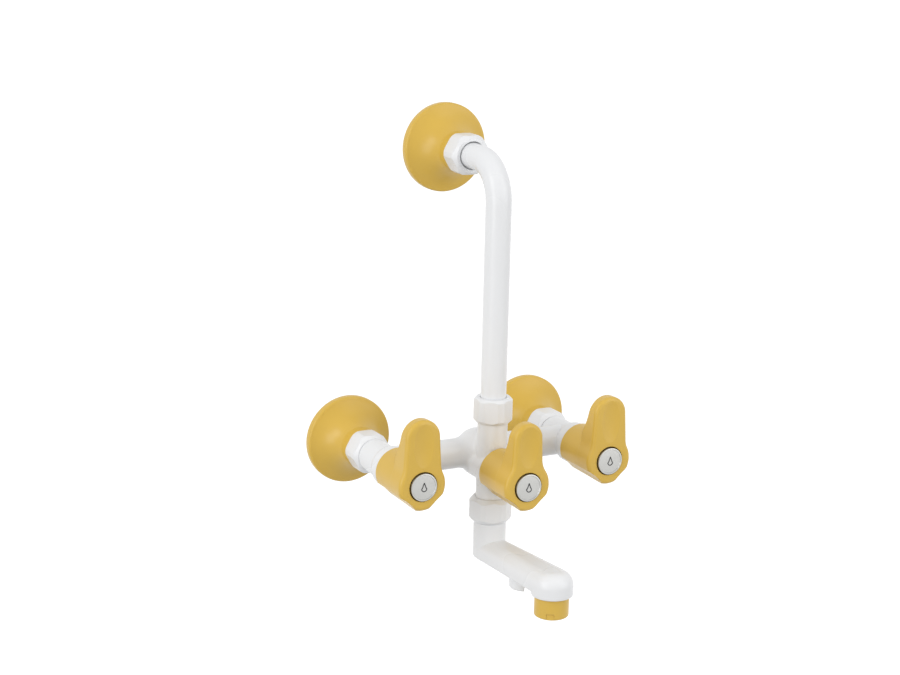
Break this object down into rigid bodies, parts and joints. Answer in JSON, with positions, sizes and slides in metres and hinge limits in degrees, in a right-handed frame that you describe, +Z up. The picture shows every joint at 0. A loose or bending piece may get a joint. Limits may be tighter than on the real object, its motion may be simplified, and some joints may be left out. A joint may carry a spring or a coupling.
{
  "type": "wall mixer",
  "caption": "Wall mixer with hot and cold levers, a centre diverter lever, a swivel spout and a pipe bend up to an overhead shower.",
  "frame": {"origin": "on the wall plane, midway between the axes of the hot and cold inlets", "axes": "+X to the right for a person who faces the wall, +Y into the wall, +Z up"},
  "size_m": [0.2156, 0.1956, 0.3393],
  "materials": {
    "white_plastic": "glossy moulded",
    "gold_plastic": "satin moulded",
    "silver_cap": "brushed",
    "black_rubber": "matt",
    "brass": "turned",
    "steel": "bright",
    "grey_plastic": "matt"
  },
  "bodies": {
    "fixed_body": {"hot_wall_leg": "white_plastic", "hot_wall_flange": "gold_plastic", "hot_union_nut": "white_plastic", "hot_union_washer": "black_rubber", "cold_wall_leg": "white_plastic", "cold_wall_flange": "gold_plastic", "cold_union_nut": "white_plastic", "cold_union_washer": "black_rubber", "shower_wall_leg": "white_plastic", "shower_wall_flange": "gold_plastic", "shower_union_nut": "white_plastic", "shower_union_washer": "black_rubber", "hot_union_tail": "white_plastic", "cold_union_tail": "white_plastic", "mixer_body": "white_plastic", "riser_pipe": "white_plastic", "riser_nut": "white_plastic", "riser_washer": "black_rubber", "spout_nut": "white_plastic", "hot_bonnet": "brass", "cold_bonnet": "brass", "diverter_bonnet": "brass"},
    "swivel_spout": {"spout": "white_plastic", "spout_retaining_ring": "steel", "spout_lower_o_ring": "black_rubber", "spout_upper_o_ring": "black_rubber", "spout_plug": "white_plastic", "nozzle": "gold_plastic", "flow_straightener": "grey_plastic", "nozzle_washer": "black_rubber"},
    "hot_control": {"hot_spindle": "brass", "hot_spindle_o_ring": "black_rubber", "hot_handle": "gold_plastic", "hot_handle_screw": "steel", "hot_handle_cap": "silver_cap"},
    "hot_valve": {"hot_valve_piston": "brass", "hot_valve_washer": "black_rubber"},
    "cold_control": {"cold_spindle": "brass", "cold_spindle_o_ring": "black_rubber", "cold_handle": "gold_plastic", "cold_handle_screw": "steel", "cold_handle_cap": "silver_cap"},
    "cold_valve": {"cold_valve_piston": "brass", "cold_valve_washer": "black_rubber"},
    "diverter_control": {"diverter_rotor": "grey_plastic", "diverter_front_o_ring": "black_rubber", "diverter_rear_o_ring": "black_rubber", "diverter_handle": "gold_plastic", "diverter_handle_screw": "steel", "diverter_handle_cap": "silver_cap"}
  },
  "joints": [
    {"name": "spout_swivel", "type": "hinge", "parent": "fixed_body", "child": "swivel_spout", "pos_m": [0, -0.087, -0.044], "axis": [0, 0, 1], "range_deg": [-95, 85]},
    {"name": "hot_turn", "type": "hinge", "parent": "fixed_body", "child": "hot_control", "pos_m": [-0.075, -0.09, 0], "axis": [0, -1, 0], "range_deg": [0, 90]},
    {"name": "cold_turn", "type": "hinge", "parent": "fixed_body", "child": "cold_control", "pos_m": [0.075, -0.09, 0], "axis": [0, 1, 0], "range_deg": [0, 90]},
    {"name": "hot_lift", "type": "slide", "parent": "fixed_body", "child": "hot_valve", "axis": [0, -1, 0], "range_m": [0, 0.003]},
    {"name": "cold_lift", "type": "slide", "parent": "fixed_body", "child": "cold_valve", "axis": [0, -1, 0], "range_m": [0, 0.003]},
    {"name": "diverter_turn", "type": "hinge", "parent": "fixed_body", "child": "diverter_control", "pos_m": [0, -0.104, -0.006], "axis": [0, 1, 0], "range_deg": [0, 90]}
  ],
  "couplings": [
    {"joint": "hot_lift", "follows": "hot_turn", "m_per_rad": 0.0019097},
    {"joint": "cold_lift", "follows": "cold_turn", "m_per_rad": 0.0019097}
  ]
}
